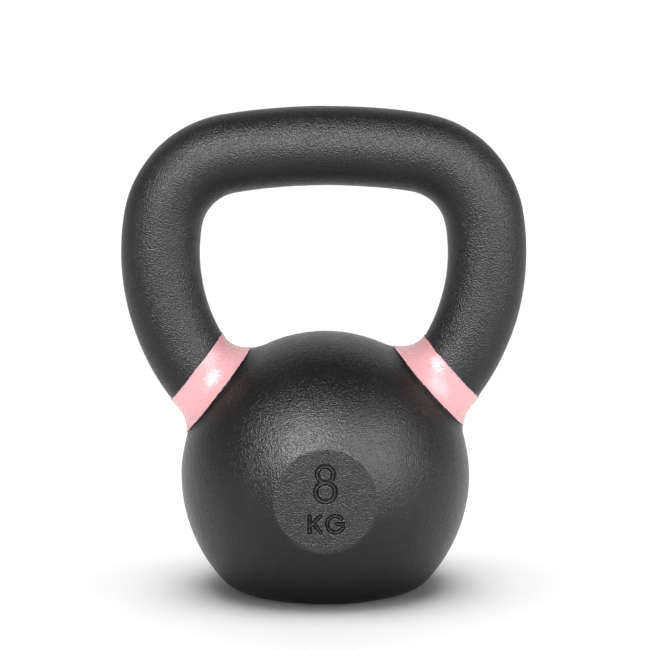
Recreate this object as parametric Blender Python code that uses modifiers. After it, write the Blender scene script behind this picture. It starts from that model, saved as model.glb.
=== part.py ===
"""Kettlebell of 8 kg: a cast ball with a flat base, a U-shaped handle and two colour bands.

Metres, +Z up, +X to the right, the marked face looks along -Y.
The origin is the centre of the flat base, on the floor.
"""

import math

import bmesh
import bpy
from mathutils import Matrix, Vector

# Ball: a half sphere above, and a slightly wider arc below that ends in a short cone to the base.
BALL_RADIUS = 0.05955
BALL_CENTRE_Z = 0.04593
BALL_CENTRE = Vector((0.0, 0.0, BALL_CENTRE_Z))
LOWER_ARC_RADIUS = 0.063
LOWER_ARC_ANGLE = math.radians(41)
BASE_EDGE_RADIUS = 0.003
BALL_STEPS = 64
UPPER_RINGS = 13
LOWER_RINGS = 7

# Handle: a round bar whose centreline is three tangent arcs on each side of the top.
BAR_RADIUS = 0.01616
HANDLE_TOP_Z = 0.1821
TOP_ARC_RADIUS = 0.2524
TOP_ARC_ANGLE = math.radians(8.68)
CORNER_ARC_RADIUS = 0.0331
CORNER_ARC_ANGLE = math.radians(71.5)
LEG_ARC_RADIUS = 0.0834
BAR_BEVEL_RESOLUTION = 14

# Roots: a straight axis through the ball's centre, from where the bar's centreline crosses it.
# The bar swells into the ball with a fillet. Distances are measured from the ball's centre.
BAR_END_LENGTH = 0.1468
ROOT_ANGLE = math.radians(40)
ROOT_FILLET = 0.012
ROOT_END_DISTANCE = 0.050
ROOT_STEP = 0.0013

# The handle meets the horn of the ball here, under the colour band.
JOINT_DISTANCE = 0.0632
GAP = 0.0003

# Colour bands: thin sleeves between two planes square to a line from the ball's centre.
# Side, angle of that line above the horizontal, distance of the lower and of the upper plane.
BANDS = {
    "left_colour_band": (-1, math.radians(37.8), 0.0565, 0.0701),
    "right_colour_band": (1, math.radians(41.1), 0.0566, 0.0694),
}
BAND_THICKNESS = 0.0006
BAND_GAP = 0.0004
SLEEVE_START_LENGTH = 0.128
SLEEVE_END_DISTANCE = 0.0530

# Round flat on the front of the ball, with a recessed weight mark.
FACE_Y = -0.05598
MARK_DEPTH = 0.0008
MARK_LINES = (("8", 0.0225, 0.0058), ("KG", 0.0115, -0.0098))

SHARP_ANGLE = math.radians(15)
IRON_BLACK = (0.028, 0.029, 0.031, 1.0)
BAND_PINK = (0.90, 0.40, 0.42, 1.0)


def new_collection(name, hidden=False):
    collection = bpy.data.collections.new(name)
    collection.hide_render = hidden
    bpy.context.scene.collection.children.link(collection)
    return collection


def new_material(name, colour, roughness, metallic):
    material = bpy.data.materials.new(name)
    material.use_nodes = True
    shader = material.node_tree.nodes["Principled BSDF"]
    shader.inputs["Base Color"].default_value = colour
    shader.inputs["Roughness"].default_value = roughness
    shader.inputs["Metallic"].default_value = metallic
    return material


def add_object(name, data, collection):
    obj = bpy.data.objects.new(name, data)
    collection.objects.link(obj)
    if collection.hide_render:
        obj.hide_render = True
        obj.display_type = "WIRE"
    return obj


def as_mesh(obj):
    """Replaces a curve or text object by the closed mesh that it draws."""
    bpy.context.view_layer.update()
    graph = bpy.context.evaluated_depsgraph_get()
    mesh = bpy.data.meshes.new_from_object(obj.evaluated_get(graph))
    solid = bmesh.new()
    solid.from_mesh(mesh)
    bmesh.ops.remove_doubles(solid, verts=solid.verts, dist=1e-6)
    bmesh.ops.recalc_face_normals(solid, faces=solid.faces)
    solid.to_mesh(mesh)
    solid.free()
    name = obj.name
    made = add_object(name + "_solid", mesh, obj.users_collection[0])
    made.matrix_world = obj.matrix_world
    bpy.data.objects.remove(obj)
    made.name = name
    return made


def combine(obj, operation, other):
    modifier = obj.modifiers.new(operation.lower() + "_" + other.name, "BOOLEAN")
    modifier.operation = operation
    modifier.solver = "EXACT"
    modifier.object = other


def box(name, size, matrix, collection):
    mesh = bpy.data.meshes.new(name)
    solid = bmesh.new()
    bmesh.ops.create_cube(solid, size=1.0)
    bmesh.ops.scale(solid, vec=size, verts=solid.verts)
    solid.to_mesh(mesh)
    solid.free()
    obj = add_object(name, mesh, collection)
    obj.matrix_world = matrix
    return obj


def bar_point(length):
    """Point of the right half's centreline at this length from the top."""
    x, z, heading = 0.0, HANDLE_TOP_Z, 0.0
    left = length
    arcs = (
        (TOP_ARC_RADIUS, TOP_ARC_ANGLE),
        (CORNER_ARC_RADIUS, CORNER_ARC_ANGLE),
        (LEG_ARC_RADIUS, math.pi),
    )
    for radius, angle in arcs:
        turn = min(left / radius, angle)
        x += radius * (math.sin(heading + turn) - math.sin(heading))
        z -= radius * (math.cos(heading) - math.cos(heading + turn))
        heading += turn
        left -= turn * radius
    return Vector((x, 0.0, z))


def evenly(start, end, step):
    """Values from start to just before end, as close to this step as a whole number of them allows."""
    count = max(1, round(abs(end - start) / step))
    return [start + (end - start) * i / count for i in range(count)]


def bar_sections(start, offset=0.0):
    """(centre, radius) of the round sections of the right half, from start down to the root."""
    top_end = TOP_ARC_RADIUS * TOP_ARC_ANGLE
    corner_end = top_end + CORNER_ARC_RADIUS * CORNER_ARC_ANGLE
    lengths = evenly(0.0, top_end, 0.0128)
    lengths += evenly(top_end, corner_end, 0.0042)
    lengths += evenly(corner_end, BAR_END_LENGTH, 0.0072) + [BAR_END_LENGTH]
    kept = [start] + [length for length in lengths if length > start + 0.001]
    return [(bar_point(length), BAR_RADIUS + offset) for length in kept]


def root_section(distance, offset=0.0):
    """(centre, radius) of the section at this distance from the ball's centre along the root axis."""
    axis = Vector((math.cos(ROOT_ANGLE), 0.0, math.sin(ROOT_ANGLE)))
    fillet_centre = BALL_RADIUS + ROOT_FILLET
    to_fillet = math.sqrt(fillet_centre**2 - (BAR_RADIUS + ROOT_FILLET) ** 2)
    fillet_run = to_fillet * ROOT_FILLET / fillet_centre
    run = min(max(to_fillet - distance, 0.0), fillet_run)
    swell = ROOT_FILLET - math.sqrt(ROOT_FILLET**2 - run**2)
    return BALL_CENTRE + axis * distance, BAR_RADIUS + swell + offset


def root_sections(start, end, offset=0.0):
    """Sections of the right root from one distance down to another."""
    distances = evenly(start, end, ROOT_STEP) + [end]
    return [root_section(distance, offset) for distance in distances]


def bar(name, sections, collection):
    """A round bar through (centre, radius) sections, with flat ends."""
    curve = bpy.data.curves.new(name, "CURVE")
    curve.dimensions = "3D"
    curve.bevel_depth = 1.0
    curve.bevel_resolution = BAR_BEVEL_RESOLUTION
    curve.use_fill_caps = True
    spline = curve.splines.new("POLY")
    spline.points.add(len(sections) - 1)
    for point, (centre, radius) in zip(spline.points, sections):
        point.co = (*centre, 1.0)
        point.radius = radius
    return as_mesh(add_object(name, curve, collection))


def mirrored(sections):
    return [(Vector((-centre.x, centre.y, centre.z)), radius) for centre, radius in sections]


def on_side(side, sections):
    return sections if side > 0 else mirrored(sections)


def arc(centre_x, centre_z, radius, start, end, count):
    angles = [start + (end - start) * i / count for i in range(count + 1)]
    return [(centre_x + radius * math.cos(a), centre_z + radius * math.sin(a)) for a in angles]


def ball_profile():
    """Half outline of the ball, from its crown down the outer side to the middle of the base."""
    edge_z = BASE_EDGE_RADIUS
    slope = LOWER_ARC_ANGLE
    lower_x = BALL_RADIUS - LOWER_ARC_RADIUS
    depth = (BALL_CENTRE_Z - edge_z) * math.sin(slope)
    edge_x = lower_x + (LOWER_ARC_RADIUS - BASE_EDGE_RADIUS - depth) / math.cos(slope)
    outline = arc(0.0, BALL_CENTRE_Z, BALL_RADIUS, math.pi / 2, 0.0, UPPER_RINGS)
    outline += arc(lower_x, BALL_CENTRE_Z, LOWER_ARC_RADIUS, 0.0, -slope, LOWER_RINGS)[1:]
    outline += arc(edge_x, edge_z, BASE_EDGE_RADIUS, -slope, -math.pi / 2, 4)
    return outline + [(0.0, 0.0)]


def turned_ball(name, collection):
    mesh = bpy.data.meshes.new(name)
    points = [(x, 0.0, z) for x, z in ball_profile()]
    mesh.from_pydata(points, [(i, i + 1) for i in range(len(points) - 1)], [])
    obj = add_object(name, mesh, collection)
    screw = obj.modifiers.new("turn", "SCREW")
    screw.axis = "Z"
    screw.steps = BALL_STEPS
    screw.render_steps = BALL_STEPS
    screw.use_merge_vertices = True
    screw.merge_threshold = 1e-5
    return obj


def mark_line(body, size, height, cutters):
    """One line of the recessed mark, as a solid that reaches MARK_DEPTH below the flat face."""
    text = bpy.data.curves.new("mark_" + body, "FONT")
    text.body = body
    text.size = size
    text.align_x = "CENTER"
    text.align_y = "CENTER"
    text.resolution_u = 3
    text.extrude = MARK_DEPTH
    obj = add_object("mark_" + body, text, cutters)
    place = Vector((0.0, FACE_Y, BALL_CENTRE_Z + height))
    obj.matrix_world = Matrix.Translation(place) @ Matrix.Rotation(math.pi / 2, 4, "X")
    return as_mesh(obj)


def make_ball(parts, cutters, material):
    ball = turned_ball("ball", parts)
    for side, name in ((-1, "left_horn"), (1, "right_horn")):
        sections = root_sections(JOINT_DISTANCE - GAP / 2, ROOT_END_DISTANCE)
        combine(ball, "UNION", bar(name, on_side(side, sections), cutters))
    flat_size = BALL_RADIUS
    flat_place = Matrix.Translation((0.0, FACE_Y - flat_size / 2, BALL_CENTRE_Z))
    combine(ball, "DIFFERENCE", box("front_flat", [flat_size] * 3, flat_place, cutters))
    for body, size, height in MARK_LINES:
        combine(ball, "DIFFERENCE", mark_line(body, size, height, cutters))
    finish(ball, material)


def make_handle(parts, material):
    right = bar_sections(0.0) + [root_section(JOINT_DISTANCE + GAP / 2)]
    left = mirrored(right[:0:-1])
    finish(bar("handle", left + right, parts), material)


def sleeve(start_length, end_distance, offset):
    """Sections of the right leg and root, enlarged by this offset."""
    return bar_sections(start_length, offset) + root_sections(JOINT_DISTANCE, end_distance, offset)


def make_band(name, parts, cutters, material):
    side, tilt, lower, upper = BANDS[name]
    outside = sleeve(SLEEVE_START_LENGTH, SLEEVE_END_DISTANCE, BAND_GAP + BAND_THICKNESS)
    inside = sleeve(SLEEVE_START_LENGTH - 0.001, SLEEVE_END_DISTANCE - 0.001, BAND_GAP)
    band = bar(name, on_side(side, outside), parts)
    bore = bar(name + "_bore", on_side(side, inside), cutters)
    turn = Matrix.Rotation(-side * tilt, 4, "Y")
    middle = side * (lower + upper) / 2
    place = Matrix.Translation(BALL_CENTRE) @ turn @ Matrix.Translation((middle, 0.0, 0.0))
    slab = box(name + "_slab", (upper - lower, 0.08, 0.06), place, cutters)
    combine(band, "INTERSECT", slab)
    combine(band, "DIFFERENCE", bore)
    finish(band, material)


def finish(obj, material):
    """Turns the modifiers into the final mesh, shades it and gives it its material."""
    bpy.context.view_layer.update()
    graph = bpy.context.evaluated_depsgraph_get()
    mesh = bpy.data.meshes.new_from_object(obj.evaluated_get(graph))
    mesh.name = obj.name
    obj.modifiers.clear()
    obj.data = mesh
    mesh.materials.clear()
    mesh.materials.append(material)
    mesh.shade_smooth()
    mesh.set_sharp_from_angle(angle=SHARP_ANGLE)


def main():
    for obj in list(bpy.data.objects):
        bpy.data.objects.remove(obj)
    parts = new_collection("kettlebell")
    cutters = new_collection("cutters", hidden=True)
    iron = new_material("black_cast_iron", IRON_BLACK, 0.55, 0.0)
    bar_iron = new_material("black_handle_iron", IRON_BLACK, 0.5, 0.0)
    pink = new_material("pink_band", BAND_PINK, 0.3, 0.0)
    make_ball(parts, cutters, iron)
    make_handle(parts, bar_iron)
    for name in BANDS:
        make_band(name, parts, cutters, pink)


main()
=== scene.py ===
"""Looks of the 8 kg kettlebell: powder-coated casting, recessed weight mark, two pink colour bands."""
import math

import bmesh
import bpy
import numpy as np
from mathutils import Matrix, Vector, noise
from mathutils.geometry import delaunay_2d_cdt


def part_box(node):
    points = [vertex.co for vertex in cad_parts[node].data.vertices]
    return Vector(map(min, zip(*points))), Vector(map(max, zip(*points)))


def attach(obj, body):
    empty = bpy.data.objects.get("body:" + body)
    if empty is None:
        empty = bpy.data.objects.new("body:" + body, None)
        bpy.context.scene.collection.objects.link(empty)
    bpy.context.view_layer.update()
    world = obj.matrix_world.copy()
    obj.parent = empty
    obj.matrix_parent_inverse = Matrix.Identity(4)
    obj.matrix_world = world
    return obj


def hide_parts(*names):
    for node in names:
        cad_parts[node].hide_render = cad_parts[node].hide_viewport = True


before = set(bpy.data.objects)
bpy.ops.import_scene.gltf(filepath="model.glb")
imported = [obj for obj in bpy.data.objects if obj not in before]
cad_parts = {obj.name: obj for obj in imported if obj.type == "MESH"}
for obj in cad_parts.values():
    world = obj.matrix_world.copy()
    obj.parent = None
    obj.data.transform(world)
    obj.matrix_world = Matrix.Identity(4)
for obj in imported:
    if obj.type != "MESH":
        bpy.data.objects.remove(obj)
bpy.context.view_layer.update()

MM = 0.001

# ---- Sizes, from the frame where it holds them ----
BALL_LOW, BALL_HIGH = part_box("ball")
HANDLE_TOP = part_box("handle")[1].z
BALL_RADIUS = BALL_HIGH.y
BALL_CENTRE_Z = BALL_HIGH.z - BALL_RADIUS
LOWER_ARC_RADIUS = 63.0 * MM
LOWER_ARC_ANGLE = math.radians(41.0)
BASE_EDGE = 3.0 * MM

BAR_RADIUS = 16.16 * MM
# Three tangent arcs on each side of the top: radius, and how many degrees each turns.
BAR_ARCS = ((252.4 * MM, 8.68), (33.1 * MM, 71.5), (83.4 * MM, 60.0))

# The fillet between bar and ball is wide in the valley between the roots and tight outside. It
# changes over between these angles from the vertical, in degrees.
VALLEY_FILLET = 12.2 * MM
OUTER_FILLET = 6.4 * MM
FILLET_CHANGE = (30.0, 65.0)

# The casting is divided under the bands, square to an axis through the ball's centre.
ROOT_ANGLE = math.radians(40.0)
JOINT_DISTANCE = 63.2 * MM
JOINT_GAP = 0.3 * MM

# Flat with the weight mark, on the front of the ball.
FACE_Y = BALL_LOW.y
FACE_RADIUS = math.sqrt(BALL_RADIUS**2 - FACE_Y**2)
FACE_EDGE_RADIUS = 1.4 * MM

# Colour bands: side, tilt of the band's axis, lower and upper plane from the ball's centre, and
# the seed of how its edges wander.
BANDS = {
    "left_colour_band": (-1, math.radians(37.8), 56.5 * MM, 70.1 * MM, 7.0),
    "right_colour_band": (1, math.radians(41.1), 56.6 * MM, 69.4 * MM, 19.0),
}
BAND_COAT = 0.34 * MM


# ---- The casting as a signed distance field, from the ball's centre ----
def arc_chain():
    """The right half of the bar's centreline as (centre x, centre z, radius, start, end) arcs."""
    x, z, heading = 0.0, HANDLE_TOP - BAR_RADIUS - BALL_CENTRE_Z, 0.0
    chain = []
    for radius, turn in BAR_ARCS:
        cx = x - radius * math.sin(heading)
        cz = z - radius * math.cos(heading)
        end = heading + math.radians(turn)
        chain.append((cx, cz, radius, heading, end))
        x = cx + radius * math.sin(end)
        z = cz + radius * math.cos(end)
        heading = end
    return chain


CHAIN = arc_chain()


def bar_point(length):
    """(x, z, heading) on the right half's centreline, at this length from the top."""
    for cx, cz, radius, start, end in CHAIN:
        if length <= radius * (end - start) or end == CHAIN[-1][4]:
            heading = start + length / radius
            return cx + radius * math.sin(heading), cz + radius * math.cos(heading), heading
        length -= radius * (end - start)


def onto_arc(angle, start, end):
    """Each angle as the nearest one between start and end."""
    middle = (start + end) / 2
    near = (angle - middle + math.pi) % (2 * math.pi) - math.pi + middle
    return np.clip(near, start, end)


def bar_field(x, y, z):
    best = None
    for cx, cz, radius, start, end in CHAIN:
        angle = onto_arc(np.arctan2(np.abs(x) - cx, z - cz), start, end)
        far = np.hypot(np.abs(x) - cx - radius * np.sin(angle), z - cz - radius * np.cos(angle))
        best = far if best is None else np.minimum(best, far)
    return np.hypot(best, y) - BAR_RADIUS


def ball_field(x, y, z):
    """Half sphere above, a slightly wider arc below, and a cone from there to the base."""
    out = np.hypot(x, y)
    low = out - BALL_RADIUS + LOWER_ARC_RADIUS
    cone = low * math.cos(LOWER_ARC_ANGLE) - z * math.sin(LOWER_ARC_ANGLE)
    curve = np.where(np.arctan2(-z, low) > LOWER_ARC_ANGLE, cone, np.hypot(low, z))
    side = np.where(z < 0, curve - LOWER_ARC_RADIUS, np.hypot(out, z) - BALL_RADIUS)
    under = -(z + BALL_CENTRE_Z)
    edge = np.hypot(np.maximum(side + BASE_EDGE, 0), np.maximum(under + BASE_EDGE, 0))
    return np.minimum(-BASE_EDGE, np.maximum(side, under)) + edge


def smoothstep(low, high, value):
    t = np.clip((value - low) / (high - low), 0, 1)
    return t * t * (3 - 2 * t)


def casting_field(p):
    """Distance-like value at points, negative inside the iron. The front flat isn't in it."""
    x, y, z = p[..., 0], p[..., 1], p[..., 2]
    ball = ball_field(x, y, z)
    bar = bar_field(x, y, z)
    polar = np.degrees(np.arctan2(np.hypot(x, y), z))
    share = smoothstep(*FILLET_CHANGE, polar)
    fillet = VALLEY_FILLET * (1 - share) + OUTER_FILLET * share
    round_in = np.hypot(np.maximum(fillet - ball, 0), np.maximum(fillet - bar, 0))
    return np.maximum(fillet, np.minimum(ball, bar)) - round_in


def root_axis(side, angle=ROOT_ANGLE):
    return np.array((side * math.cos(angle), 0.0, math.sin(angle)))


def stub_field(p):
    """The casting cut off at the joints with the handle."""
    value = casting_field(p)
    for side in (-1, 1):
        value = np.maximum(value, p @ root_axis(side) - (JOINT_DISTANCE - JOINT_GAP / 2))
    return value


REACH_HALVINGS = 26


def reach(field, start, direction, limits, level=0.0):
    """Where rays that start inside the iron find the field at this level, between two distances."""
    low = np.full(direction.shape[:-1], limits[0])
    high = np.full(direction.shape[:-1], limits[1])
    for _ in range(REACH_HALVINGS):
        middle = (low + high) / 2
        inside = field(start + direction * middle[..., None]) < level
        low = np.where(inside, middle, low)
        high = np.where(inside, high, middle)
    return start + direction * ((low + high) / 2)[..., None]


def normals_of(p):
    step = 0.02 * MM
    slopes = [casting_field(p + step * axis) - casting_field(p - step * axis) for axis in np.eye(3)]
    slope = np.stack(slopes, -1)
    return slope / np.linalg.norm(slope, axis=-1, keepdims=True)


# Waves of the casting, as length and size, and how far from the flat and the base they reach full size.
CAST_WAVES = ((16.0 * MM, 0.11 * MM), (6.5 * MM, 0.035 * MM))
FACE_FADE = 6 * MM
BASE_FADE = 4 * MM


def cast_waves(p):
    """The casting's slight unevenness along its normal, which fades out towards the flat and the base."""
    flat = smoothstep(FACE_RADIUS, FACE_RADIUS + FACE_FADE, np.hypot(p[:, 0], p[:, 2]))
    flat = np.maximum(flat, p[:, 1] > 0)
    height = np.zeros(len(p))
    for length, size in CAST_WAVES:
        height += [size * noise.noise(Vector(q) / length) for q in p]
    base = smoothstep(0.0, BASE_FADE, p[:, 2] + BALL_CENTRE_Z)
    return height * flat * base


def uneven(p):
    return p + normals_of(p) * cast_waves(p)[:, None]


# ---- Mesh helpers ----
def add_mesh(name, points, faces):
    """A smooth mesh from points given from the ball's centre."""
    mesh = bpy.data.meshes.new(name)
    placed = points + np.array((0.0, 0.0, BALL_CENTRE_Z))
    mesh.from_pydata(placed.tolist(), [], faces)
    mesh.validate()
    solid = bmesh.new()
    solid.from_mesh(mesh)
    bmesh.ops.recalc_face_normals(solid, faces=solid.faces)
    solid.to_mesh(mesh)
    solid.free()
    mesh.shade_smooth()
    obj = bpy.data.objects.new(name, mesh)
    bpy.context.scene.collection.objects.link(obj)
    return obj


def strip(first, second, count):
    """Quads between two closed rings of points, given by the index of each ring's first point."""
    return [
        (first + i, first + (i + 1) % count, second + (i + 1) % count, second + i)
        for i in range(count)
    ]


def full_turn(count):
    return np.arange(count) * 2 * math.pi / count


# ---- The weight mark: strokes on the flat ----
def line(x0, z0, x1, z1):
    """A straight stroke between two points, in millimetres from the middle of the flat."""
    return "line", (x0 * MM, z0 * MM), (x1 * MM, z1 * MM)


def arc(x, z, radius, start, end):
    """A round stroke about a point, in millimetres and degrees."""
    return "arc", (x * MM, z * MM), radius * MM, math.radians(start), math.radians(end)


LARGE_STROKE = 1.9 * MM
SMALL_STROKE = 1.6 * MM
LARGE_MARK = (
    arc(0.0, 10.5, 3.2, 0, 360),
    arc(0.0, 3.45, 3.85, 0, 360),
)
SMALL_MARK = (
    line(-6.3, -6.1, -6.3, -12.6),
    line(-2.1, -6.1, -6.3, -10.3),
    line(-4.9, -8.9, -2.0, -12.6),
    arc(3.8, -9.35, 3.25, 42, 325),
    line(6.75, -11.0, 6.75, -9.3),
    line(6.75, -9.3, 4.5, -9.3),
)

# The grooves' walls slope from a little outside the strokes' outline to further inside it.
MARK_DEPTH = 1.2 * MM
MARK_WALL_TOP = 0.15 * MM
MARK_WALL_FOOT = -0.55 * MM


def stroke_distance(x, z, strokes):
    best = np.full(np.shape(x), 1.0)
    for kind, *values in strokes:
        if kind == "line":
            (x0, z0), (x1, z1) = values
            dx, dz = x1 - x0, z1 - z0
            t = np.clip(((x - x0) * dx + (z - z0) * dz) / (dx * dx + dz * dz), 0, 1)
            far = np.hypot(x - x0 - t * dx, z - z0 - t * dz)
        else:
            (cx, cz), radius, start, end = values
            angle = onto_arc(np.arctan2(z - cz, x - cx), start, end)
            far = np.hypot(x - cx - radius * np.cos(angle), z - cz - radius * np.sin(angle))
        best = np.minimum(best, far)
    return best


def mark_edge(x, z):
    """Distance outside the strokes' outline: negative on the strokes."""
    large = stroke_distance(x, z, LARGE_MARK) - LARGE_STROKE / 2
    small = stroke_distance(x, z, SMALL_MARK) - SMALL_STROKE / 2
    return np.minimum(large, small)


def mark_depth(x, z):
    return MARK_DEPTH * (1 - smoothstep(MARK_WALL_FOOT, MARK_WALL_TOP, mark_edge(x, z)))


# ---- Ball ----
BALL_SECTORS = 384
# The ball's rows are narrow at the edge of the flat and grow to the full step. No row is nearer to
# the middle of the back than the last step.
BALL_FIRST_STEP = 0.35 * MM
BALL_STEP_GROWTH = 1.15
BALL_STEP = 0.95 * MM
BALL_LAST_STEP = 0.6 * BALL_STEP
BALL_REACH = (40 * MM, 85 * MM)
FACE_EDGE_ROWS = 7

# Points of the flat: fine ones where mark_edge is in the fine zone, and coarse ones where it is
# outside the coarse gap.
PLATE_MARGIN = 0.3 * MM
FINE_STEP = 0.16 * MM
FINE_ZONE = (-0.7 * MM, 0.4 * MM)
COARSE_STEP = 1.1 * MM
COARSE_GAP = (-0.85 * MM, 0.6 * MM)
COARSE_MARGIN = 0.6 * MM
# Settings of the triangulation, which works in millimetres.
INSIDE_BORDER = 1
MERGE_DISTANCE = 1e-6


def grid_points(step, radius):
    """Points inside this radius, with every other row shifted by half a step."""
    count = int(radius / step)
    axis = np.arange(-count, count + 1) * step
    x, z = np.meshgrid(axis, axis)
    x = x + (np.arange(2 * count + 1) % 2)[:, None] * step / 2
    kept = np.hypot(x, z) < radius
    return np.stack([x[kept], z[kept]], 1)


def face_plate(radius):
    """Points and triangles of the flat inside this radius, with the mark, and the rim's indices."""
    turn = full_turn(BALL_SECTORS)
    rim = np.stack([radius * np.cos(turn), radius * np.sin(turn)], 1)
    fine = grid_points(FINE_STEP, radius)
    edge = mark_edge(fine[:, 0], fine[:, 1])
    fine = fine[(edge > FINE_ZONE[0]) & (edge < FINE_ZONE[1])]
    coarse = grid_points(COARSE_STEP, radius - COARSE_MARGIN)
    edge = mark_edge(coarse[:, 0], coarse[:, 1])
    coarse = coarse[(edge < COARSE_GAP[0]) | (edge > COARSE_GAP[1])]
    flat = [Vector(q) for q in np.concatenate([rim, fine, coarse]) / MM]
    border = [(i, (i + 1) % BALL_SECTORS) for i in range(BALL_SECTORS)]
    made = delaunay_2d_cdt(flat, border, [], INSIDE_BORDER, MERGE_DISTANCE)
    spots, _, triangles, sources, *_ = made
    spots = np.array([tuple(v) for v in spots]) * MM
    new_index = {old: new for new, olds in enumerate(sources) for old in olds}
    depth = mark_depth(spots[:, 0], spots[:, 1])
    points = np.stack([spots[:, 0], FACE_Y + depth, spots[:, 1]], 1)
    return points, [tuple(t) for t in triangles], [new_index[i] for i in range(BALL_SECTORS)]


def face_edge_profile():
    """(distance from the axis, y) of the flat's rounded edge, and the angle where it meets the ball."""
    inner_y = FACE_Y + FACE_EDGE_RADIUS
    centre_far = BALL_RADIUS - FACE_EDGE_RADIUS
    centre_out = math.sqrt(centre_far**2 - inner_y**2)
    end = math.asin(centre_out / centre_far)
    angles = np.linspace(0.0, end, FACE_EDGE_ROWS)
    outs = centre_out + FACE_EDGE_RADIUS * np.sin(angles)
    return list(zip(outs, inner_y - FACE_EDGE_RADIUS * np.cos(angles))), end


def ball_angles(start):
    """Angles of the ball's rows from the axis of the flat, from its edge to the back."""
    step = BALL_FIRST_STEP
    angle = start + step / BALL_RADIUS
    angles = []
    while angle < math.pi - BALL_LAST_STEP / BALL_RADIUS:
        angles.append(angle)
        step = min(step * BALL_STEP_GROWTH, BALL_STEP)
        angle += step / BALL_RADIUS
    return np.array(angles)[:, None, None]


def make_ball():
    """The flat, its rounded edge, and rows about the Y axis from there over the ball and its horns."""
    profile, edge_end = face_edge_profile()
    plate, faces, border = face_plate(profile[0][0] - PLATE_MARGIN)
    turn = full_turn(BALL_SECTORS)
    around = np.stack([np.cos(turn), np.zeros(BALL_SECTORS), np.sin(turn)], 1)
    rings = [around * out + np.array((0.0, y, 0.0)) for out, y in profile]
    angles = ball_angles(edge_end)
    directions = np.sin(angles) * around - np.cos(angles) * np.array((0.0, 1.0, 0.0))
    swept = reach(stub_field, np.zeros(3), directions, BALL_REACH)
    back = np.array([[0.0, BALL_RADIUS, 0.0]])
    outer = uneven(np.concatenate([swept.reshape(-1, 3), back]))
    points = np.concatenate([plate, *rings, outer])
    first = len(plate)
    faces += [
        (border[i], border[(i + 1) % BALL_SECTORS], first + (i + 1) % BALL_SECTORS, first + i)
        for i in range(BALL_SECTORS)
    ]
    count = len(rings) + len(swept)
    for row in range(count - 1):
        faces += strip(first + row * BALL_SECTORS, first + (row + 1) * BALL_SECTORS, BALL_SECTORS)
    last = first + (count - 1) * BALL_SECTORS
    faces += [(last + i, last + (i + 1) % BALL_SECTORS, len(points) - 1) for i in range(BALL_SECTORS)]
    return add_mesh("ball_casting", points, faces)


# ---- Handle ----
BAR_SECTORS = 112
BAR_STEP = 1.0 * MM
BAR_REACH = (0.0, 34 * MM)
# Over this length before a joint, the rings turn from square to the bar to parallel to the joint.
LEAN_LENGTH = 35 * MM
JOINT_LENGTH_LIMITS = (100 * MM, 160 * MM)
JOINT_HALVINGS = 40


def joint_length():
    """Length along the bar at which its centreline reaches the joint."""
    low, high = JOINT_LENGTH_LIMITS
    for _ in range(JOINT_HALVINGS):
        middle = (low + high) / 2
        x, z, _ = bar_point(middle)
        if x * math.cos(ROOT_ANGLE) + z * math.sin(ROOT_ANGLE) > JOINT_DISTANCE + JOINT_GAP / 2:
            low = middle
        else:
            high = middle
    return low


def make_handle():
    """Rings round the bar's centreline from joint to joint, closed by a fan at each end."""
    end = joint_length()
    count = round(2 * end / BAR_STEP)
    turn = full_turn(BAR_SECTORS)
    starts, directions = [], []
    for length in np.linspace(-end, end, count + 1):
        side = -1 if length < 0 else 1
        x, z, heading = bar_point(abs(length))
        lean = float(smoothstep(end - LEAN_LENGTH, end, abs(length)))
        heading += lean * (math.pi - ROOT_ANGLE - heading)
        outward = np.array((side * math.sin(heading), 0.0, math.cos(heading)))
        starts.append((side * x, 0.0, z))
        directions.append(np.outer(np.cos(turn), outward) + np.outer(np.sin(turn), (0.0, 1.0, 0.0)))
    starts = np.array(starts)[:, None, :]
    rings = reach(casting_field, starts, np.array(directions), BAR_REACH)
    points = np.concatenate([uneven(rings.reshape(-1, 3)), starts[0], starts[-1]])
    faces = []
    for row in range(count):
        faces += strip(row * BAR_SECTORS, (row + 1) * BAR_SECTORS, BAR_SECTORS)
    last = count * BAR_SECTORS
    middle = len(points) - 2
    for i in range(BAR_SECTORS):
        after = (i + 1) % BAR_SECTORS
        faces.append((middle, after, i))
        faces.append((middle + 1, last + i, last + after))
    return add_mesh("handle_casting", points, faces)


# ---- Colour bands ----
BAND_SECTORS = 240
BAND_REACH = (5 * MM, 30 * MM)
# Section of the coat along one edge: offset into the band, height over the iron, and how thin the paint
# is, which also places a painted shade along the edge. The foot is a little inside the iron.
BAND_FOOT = -0.05 * MM
BAND_BEAD = 0.08 * MM
BAND_EDGE = (
    (0.0, BAND_FOOT, 1.0),
    (0.0, 0.5 * BAND_COAT, 1.0),
    (0.10 * MM, 0.85 * BAND_COAT, 1.0),
    (0.28 * MM, BAND_COAT + 0.6 * BAND_BEAD, 0.9),
    (0.48 * MM, BAND_COAT + BAND_BEAD, 0.1),
    (0.85 * MM, BAND_COAT, 0.0),
)
# Steps across the band, and how many of them each step on its underside spans.
BAND_STEPS = 14
UNDERSIDE_STEP = 3

# The two edges wander by noise on a circle: its radius sets how quickly, and its share how far.
LOWER_EDGE_WAVES = 0.10 * MM
UPPER_EDGE_WAVES = 0.16 * MM
UPPER_EDGE_SEED = 31.0
EDGE_WAVES = ((2.2, 1.6), (11.0, 0.9))


def band_rows():
    """(share of the way up the band, offset along it, height, thinness) round the coat's section; the
    thinness also places the painted edge shade.
    """
    rows = [(0.0, along, high, thin) for along, high, thin in BAND_EDGE]
    inner = np.linspace(0.0, 1.0, BAND_STEPS + 1)[1:-1]
    rows += [(share, 0.0, BAND_COAT, 0.0) for share in inner]
    rows += [(1.0, -along, high, thin) for along, high, thin in reversed(BAND_EDGE)]
    rows += [(share, 0.0, BAND_FOOT, 0.0) for share in reversed(inner[::UNDERSIDE_STEP])]
    return rows


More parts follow.
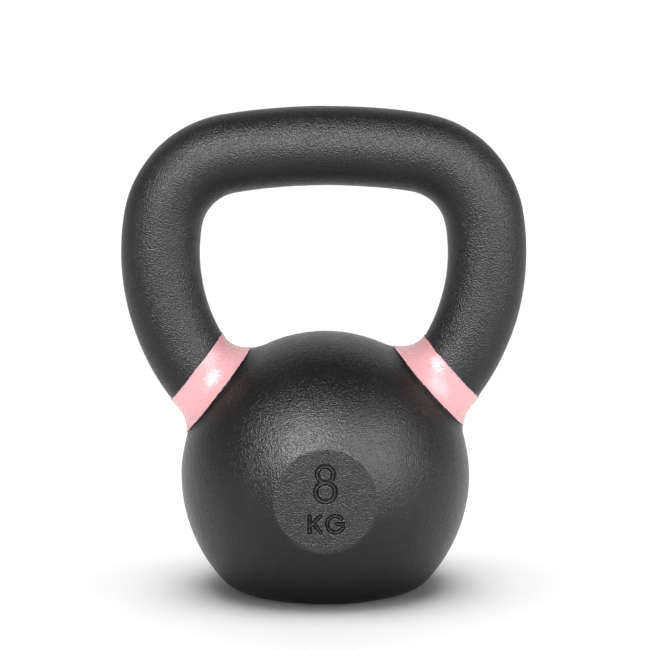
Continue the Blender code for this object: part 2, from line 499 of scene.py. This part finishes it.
def edge_waves(turn, seed, size):
    """How far the masked edge of the coat wanders on its way round."""
    height = np.zeros(len(turn))
    for radius, share in EDGE_WAVES:
        circle = [(radius * math.cos(a), radius * math.sin(a), seed) for a in turn]
        height += np.array([noise.noise(spot) for spot in circle]) * share
    return size * height


def make_band(name):
    """The coat round one root: a closed skin whose section is band_rows."""
    side, tilt, lower, upper, seed = BANDS[name]
    axis = root_axis(side, tilt)
    across = np.array((-side * math.sin(tilt), 0.0, math.cos(tilt)))
    turn = full_turn(BAND_SECTORS)
    around = np.outer(np.cos(turn), across) + np.outer(np.sin(turn), (0.0, side * 1.0, 0.0))
    low = lower + edge_waves(turn, seed, LOWER_EDGE_WAVES)
    high = upper + edge_waves(turn, seed + UPPER_EDGE_SEED, UPPER_EDGE_WAVES)
    rings, thinness_and_edge_shade = [], []
    for share, along, height, thin in band_rows():
        distance = low + (high - low) * share + along
        start = axis * distance[:, None]
        rings.append(reach(casting_field, start, around, BAND_REACH, height))
        thinness_and_edge_shade += [thin] * BAND_SECTORS
    points = uneven(np.concatenate(rings))
    faces = []
    for row in range(len(rings)):
        faces += strip(row * BAND_SECTORS, (row + 1) % len(rings) * BAND_SECTORS, BAND_SECTORS)
    coat = add_mesh(name.replace("band", "coat"), points, faces)
    # The thin paint also places the painted shade along the edges.
    coat.data.attributes.new("thin_paint_and_edge_shade", "FLOAT", "POINT").data.foreach_set("value", thinness_and_edge_shade)
    return coat


# ---- Node helpers, for materials and for the world ----
def new_material(name, roughness, specular):
    material = bpy.data.materials.new(name)
    material.use_nodes = True
    shader = material.node_tree.nodes["Principled BSDF"]
    shader.inputs["Roughness"].default_value = roughness
    shader.inputs["Specular IOR Level"].default_value = specular
    return material, shader


def node(material, kind, **values):
    made = material.node_tree.nodes.new("ShaderNode" + kind)
    for key, value in values.items():
        if key in made.inputs:
            made.inputs[key].default_value = value
        else:
            setattr(made, key, value)
    return made


def link(material, output, target):
    material.node_tree.links.new(output, target)


def noise_value(material, size, detail, rough):
    """Noise with spots of about this size, placed by the object's own coordinates."""
    place = node(material, "TexCoord")
    made = node(material, "TexNoise", Scale=1.0 / size, Detail=detail, Roughness=rough)
    link(material, place.outputs["Object"], made.inputs["Vector"])
    return made.outputs["Fac"]


def spread(material, source, low, high, to_low, to_high):
    """Maps a value's range to another and holds it at the ends."""
    made = node(material, "MapRange")
    made.inputs["From Min"].default_value = low
    made.inputs["From Max"].default_value = high
    made.inputs["To Min"].default_value = to_low
    made.inputs["To Max"].default_value = to_high
    link(material, source, made.inputs["Value"])
    return made.outputs["Result"]


def bump(material, height, distance, before=None):
    """A normal bent by a height times this distance, on top of the bend before it."""
    made = node(material, "Bump", Strength=1.0, Distance=distance)
    link(material, height, made.inputs["Height"])
    if before is not None:
        link(material, before, made.inputs["Normal"])
    return made.outputs["Normal"]


def ramp(material, source, stops):
    made = node(material, "ValToRGB")
    elements = made.color_ramp.elements
    while len(elements) < len(stops):
        elements.new(0.5)
    for element, (position, colour) in zip(elements, stops):
        element.position = position
        element.color = (*colour, 1.0)
    link(material, source, made.inputs["Fac"])
    return made.outputs["Color"]


def mixed(material, share, first, second):
    """The first colour, going over to the second with the share."""
    made = node(material, "Mix", data_type="RGBA")
    link(material, share, made.inputs["Factor"])
    link(material, first, made.inputs["A"])
    link(material, second, made.inputs["B"])
    return made.outputs["Result"]


def product(material, first, second):
    made = node(material, "Math", operation="MULTIPLY")
    link(material, first, made.inputs[0])
    link(material, second, made.inputs[1])
    return made.outputs[0]


# ---- Materials ----
# A noise is given as size, detail and roughness of the detail, and a colour as its two shades,
# which lie at the two ends of the noise's usual range.
NOISE_RANGE = (0.3, 0.7)

COAT_PATCHES = (9 * MM, 3.0, 0.6)
COAT_DARK = ((0.0020, 0.0021, 0.0023), (0.0040, 0.0041, 0.0044))
# Painted light: the paler shades that the flat takes, for the brighter look it has as it faces the front.
FLAT_PAINTED_LIGHT = ((0.0080, 0.0080, 0.0084), (0.0130, 0.0130, 0.0136))
COAT_GLOSS = (2.4 * MM, 3.0, 0.6)
COAT_PEEL = (1.2 * MM, 0.0, 0.5)
COAT_PEEL_DEPTH = 0.10 * MM
COAT_GRAIN = (0.50 * MM, 0.0, 0.5)
# On the flat the coat is paler, which is painted light for the brighter look the flat has as it faces the
# front, and its grain is deeper. Both fade between these depths under it, so the grooves of the mark keep
# the plain dark coat.
FLAT_GRAIN = 1.35
FLAT_FADE = (0.05 * MM, 0.35 * MM)

BAND_PATCHES = (11 * MM, 3.0, 0.55)
BAND_PINK = ((0.94, 0.49, 0.48), (0.94, 0.47, 0.52))
# Painted shade: the dark edge colour of the bands, partly thin paint over the black coat.
BAND_THIN_PAINT_AND_SHADE = ((0.030, 0.010, 0.022), (0.020, 0.010, 0.034))
BAND_ROUGHNESS = (0.20, 0.31)
BAND_GLOSS = (1.6 * MM, 2.0, 0.5)
BAND_PEEL = (1.6 * MM, 0.0, 0.5)
BAND_PEEL_DEPTH = 0.06 * MM
BAND_GRAIN = (0.8 * MM, 0.0, 0.5)
BAND_GRAIN_DEPTH = 0.12 * MM
# Thin paint is multiplied by a ragged noise in this spread. From the first to the second limit, the
# product takes the colour from pink to plum: partly thin paint over the black coat, partly painted shade
# along the coat's edges.
RAGGED = (1.4 * MM, 2.0, 0.6)
RAGGED_RANGE = (0.35, 0.65)
RAGGED_SPREAD = (0.55, 1.25)
PLUM_LIMITS = (0.3, 0.65)

PAPER_TONE = (0.5, 2.0, 0.5)
PAPER_WHITE = ((0.93, 0.93, 0.93), (0.95, 0.95, 0.95))


def shades(material, source, pair):
    return ramp(material, source, tuple(zip(NOISE_RANGE, pair)))


def share_of_flat(material):
    """1 on the flat with the mark, 0 in its grooves and on the rest of the casting: where the painted
    light and the deeper grain go.
    """
    place = node(material, "TexCoord")
    split = node(material, "SeparateXYZ")
    link(material, place.outputs["Object"], split.inputs["Vector"])
    whole, gone = (FACE_Y + depth for depth in FLAT_FADE)
    return spread(material, split.outputs["Y"], whole, gone, 1.0, 0.0)


def powder_coat(name, specular, glossiest, dullest, grain_depth):
    """Black powder coat on cast iron: fine glossy grain over a soft orange peel, made paler on the flat by
    painted light.
    """
    material, shader = new_material(name, roughness=glossiest, specular=specular)
    flat = share_of_flat(material)
    patches = noise_value(material, *COAT_PATCHES)
    dark = shades(material, patches, COAT_DARK)
    # Painted light: the flat is given the paler shades.
    flat_painted_light = shades(material, patches, FLAT_PAINTED_LIGHT)
    link(material, mixed(material, flat, dark, flat_painted_light), shader.inputs["Base Color"])
    gloss = noise_value(material, *COAT_GLOSS)
    roughness = spread(material, gloss, *NOISE_RANGE, glossiest, dullest)
    link(material, roughness, shader.inputs["Roughness"])
    peel = bump(material, noise_value(material, *COAT_PEEL), COAT_PEEL_DEPTH)
    deeper = spread(material, flat, 0.0, 1.0, 1.0, FLAT_GRAIN)
    grain = product(material, noise_value(material, *COAT_GRAIN), deeper)
    link(material, bump(material, grain, grain_depth, peel), shader.inputs["Normal"])
    return material


def band_coat(name):
    """Pink enamel over the powder coat, whose grain shows through. Along the edges it is thin and dark,
    the dark partly painted shade.
    """
    material, shader = new_material(name, roughness=0.26, specular=0.45)
    patches = noise_value(material, *BAND_PATCHES)
    thin = node(material, "Attribute", attribute_name="thin_paint_and_edge_shade").outputs["Fac"]
    ragged = spread(material, noise_value(material, *RAGGED), *RAGGED_RANGE, *RAGGED_SPREAD)
    # Painted shade along the edges, partly thin paint: the dark colour goes where the paint is thin.
    share = spread(material, product(material, thin, ragged), *PLUM_LIMITS, 0.0, 1.0)
    pink = shades(material, patches, BAND_PINK)
    plum = shades(material, patches, BAND_THIN_PAINT_AND_SHADE)
    link(material, mixed(material, share, pink, plum), shader.inputs["Base Color"])
    gloss = noise_value(material, *BAND_GLOSS)
    link(material, spread(material, gloss, *NOISE_RANGE, *BAND_ROUGHNESS), shader.inputs["Roughness"])
    peel = bump(material, noise_value(material, *BAND_PEEL), BAND_PEEL_DEPTH)
    grain = bump(material, noise_value(material, *BAND_GRAIN), BAND_GRAIN_DEPTH, peel)
    link(material, grain, shader.inputs["Normal"])
    return material


def floor_paper(name):
    material, shader = new_material(name, roughness=0.9, specular=0.1)
    tone = shades(material, noise_value(material, *PAPER_TONE), PAPER_WHITE)
    link(material, tone, shader.inputs["Base Color"])
    return material


def glowing_white(name, strength):
    material, shader = new_material(name, roughness=1.0, specular=0.0)
    shader.inputs["Base Color"].default_value = (0.0, 0.0, 0.0, 1.0)
    shader.inputs["Emission Color"].default_value = (1.0, 1.0, 1.0, 1.0)
    shader.inputs["Emission Strength"].default_value = strength
    return material


# ---- Stage: floor and backdrop ----
FLOOR_HALF = 20.0
WALL_STRENGTH = 1.04
BACKDROP_RADIUS = 12.0
BACKDROP_HEIGHT = 16.0
BACKDROP_MIDDLE_Z = 7.5
BACKDROP_SEGMENTS = 96


def add_to_stage(name, mesh, material):
    mesh.materials.append(material)
    obj = bpy.data.objects.new(name, mesh)
    bpy.context.scene.collection.objects.link(obj)
    return obj


def make_floor():
    mesh = bpy.data.meshes.new("floor")
    corners = [(x * FLOOR_HALF, y * FLOOR_HALF, 0.0) for x, y in ((-1, -1), (1, -1), (1, 1), (-1, 1))]
    mesh.from_pydata(corners, [], [(0, 1, 2, 3)])
    add_to_stage("floor", mesh, floor_paper("floor_paper"))


def make_backdrop():
    """A white wall all round, far off, that is only seen directly: it keeps a horizon out of each view."""
    wall = bmesh.new()
    bmesh.ops.create_cone(
        wall,
        cap_ends=False,
        segments=BACKDROP_SEGMENTS,
        radius1=BACKDROP_RADIUS,
        radius2=BACKDROP_RADIUS,
        depth=BACKDROP_HEIGHT,
    )
    mesh = bpy.data.meshes.new("backdrop")
    wall.to_mesh(mesh)
    wall.free()
    backdrop = add_to_stage("backdrop", mesh, glowing_white("backdrop_white", WALL_STRENGTH))
    backdrop.location = (0.0, 0.0, BACKDROP_MIDDLE_Z)
    backdrop.visible_diffuse = False
    backdrop.visible_glossy = False
    backdrop.visible_shadow = False


# ---- Light ----
# What the object mirrors: a white wall behind it and greyer ones around it, which fade to a darker
# ceiling by the height of the direction. Between two values of its Y, the grey goes over to white.
WALL_TO_CEILING = (
    (0.0, (1.0, 1.0, 1.0)),
    (0.06, (0.92, 0.92, 0.92)),
    (0.35, (0.70, 0.70, 0.70)),
    (0.7, (0.42, 0.42, 0.42)),
    (1.0, (0.33, 0.33, 0.33)),
)
GREY_WALLS = 0.5
GREY_TO_WHITE = (0.7, 0.97)

LIT_POINT = Vector((0.0, 0.0, 0.08))
# Softboxes: azimuth and elevation in degrees, width and height in metres, radiance.
SOFTBOX_DISTANCE = 1.2
SOFTBOXES = {
    "key_softbox": (-20, 31.5, (1.0, 0.74), 13.9),
    "side_softbox": (46, 22, (1.06, 1.00), 6.5),
    "back_softbox": (180, 36, (1.9, 0.55), 0.6),
}
# Diffuse lights: azimuth, elevation and angular width in degrees, strength.
DIFFUSE_LIGHT_DISTANCE = 3.0
DIFFUSE_LIGHTS = {
    "top_light": (0, 89, 46, 2.68),
    "back_fill": (180, 42, 60, 1.0),
    "left_fill": (-85, 25, 60, 0.25),
    "right_fill": (85, 25, 60, 0.25),
    "front_fill": (0, 3.5, 7, 1.75),
}


def away_from_ball(azimuth, elevation):
    """Direction from the ball. Azimuth 0 is in front, positive to the right."""
    a, e = math.radians(azimuth), math.radians(elevation)
    return Vector((math.sin(a) * math.cos(e), -math.cos(a) * math.cos(e), math.sin(e)))


def lamp(name, light, azimuth, elevation, distance):
    obj = bpy.data.objects.new(name, light)
    away = away_from_ball(azimuth, elevation)
    obj.location = LIT_POINT + away * distance
    obj.rotation_euler = (-away).to_track_quat("-Z", "Y").to_euler()
    bpy.context.scene.collection.objects.link(obj)
    return obj


def softbox(name, azimuth, elevation, size, radiance):
    """A softbox that only makes highlights: the diffuse lights give the even light."""
    light = bpy.data.lights.new(name, "AREA")
    light.shape = "RECTANGLE"
    light.size, light.size_y = size
    light.energy = radiance * math.pi * size[0] * size[1]
    lamp(name, light, azimuth, elevation, SOFTBOX_DISTANCE).visible_diffuse = False


def diffuse_light(name, azimuth, elevation, width, strength):
    """A soft light that makes no highlight, for the floor with its shadow and for the pink bands."""
    light = bpy.data.lights.new(name, "SUN")
    light.angle = math.radians(width)
    light.energy = strength
    lamp(name, light, azimuth, elevation, DIFFUSE_LIGHT_DISTANCE).visible_glossy = False


def make_world():
    """The walls and the ceiling that the object mirrors. The diffuse lights stand for their light."""
    world = bpy.data.worlds.new("studio")
    bpy.context.scene.world = world
    world.use_nodes = True
    world.cycles_visibility.diffuse = False
    place = node(world, "TexCoord")
    split = node(world, "SeparateXYZ")
    link(world, place.outputs["Generated"], split.inputs["Vector"])
    shade = ramp(world, split.outputs["Z"], WALL_TO_CEILING)
    background = world.node_tree.nodes["Background"]
    link(world, shade, background.inputs["Color"])
    grey = GREY_WALLS * WALL_STRENGTH
    lightness = spread(world, split.outputs["Y"], *GREY_TO_WHITE, grey, WALL_STRENGTH)
    link(world, lightness, background.inputs["Strength"])


def make_light():
    make_world()
    for name, values in SOFTBOXES.items():
        softbox(name, *values)
    for name, values in DIFFUSE_LIGHTS.items():
        diffuse_light(name, *values)


# ---- Camera ----
CAMERA_PLACE = Vector((0.28 * MM, -974.7 * MM, 232.5 * MM))
CAMERA_AIM = Vector((0.28 * MM, 0.0, 108.36 * MM))
CAMERA_ROLL = math.radians(0.38)
LENS_MM = 132.2
SENSOR_WIDTH_MM = 36.0
CAMERA_CLIP = (0.05, 100.0)


def make_camera():
    """A short telephoto a little above the object, turned by a fraction of a degree."""
    camera = bpy.data.cameras.new("camera")
    camera.lens = LENS_MM
    camera.sensor_width = SENSOR_WIDTH_MM
    camera.clip_start, camera.clip_end = CAMERA_CLIP
    obj = bpy.data.objects.new("camera", camera)
    level = (CAMERA_AIM - CAMERA_PLACE).to_track_quat("-Z", "Y").to_matrix()
    rolled = level.copy()
    rolled.col[0] = level.col[0] * math.cos(CAMERA_ROLL) - level.col[1] * math.sin(CAMERA_ROLL)
    rolled.col[1] = level.col[0] * math.sin(CAMERA_ROLL) + level.col[1] * math.cos(CAMERA_ROLL)
    obj.matrix_world = rolled.to_4x4()
    obj.location = CAMERA_PLACE
    bpy.context.scene.collection.objects.link(obj)
    bpy.context.scene.camera = obj


# ---- The scene ----
def dress(obj, node_name, material):
    obj.data.materials.append(material)
    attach(obj, "root")
    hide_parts(node_name)


make_camera()
make_light()
make_floor()
make_backdrop()
ball_coat = powder_coat("ball_powder_coat", 0.41, 0.28, 0.37, 0.20 * MM)
handle_coat = powder_coat("handle_powder_coat", 0.40, 0.33, 0.43, 0.29 * MM)
dress(make_ball(), "ball", ball_coat)
dress(make_handle(), "handle", handle_coat)
pink_enamel = band_coat("pink_enamel")
for band in BANDS:
    dress(make_band(band), band, pink_enamel)
bpy.context.scene.view_settings.view_transform = "Standard"
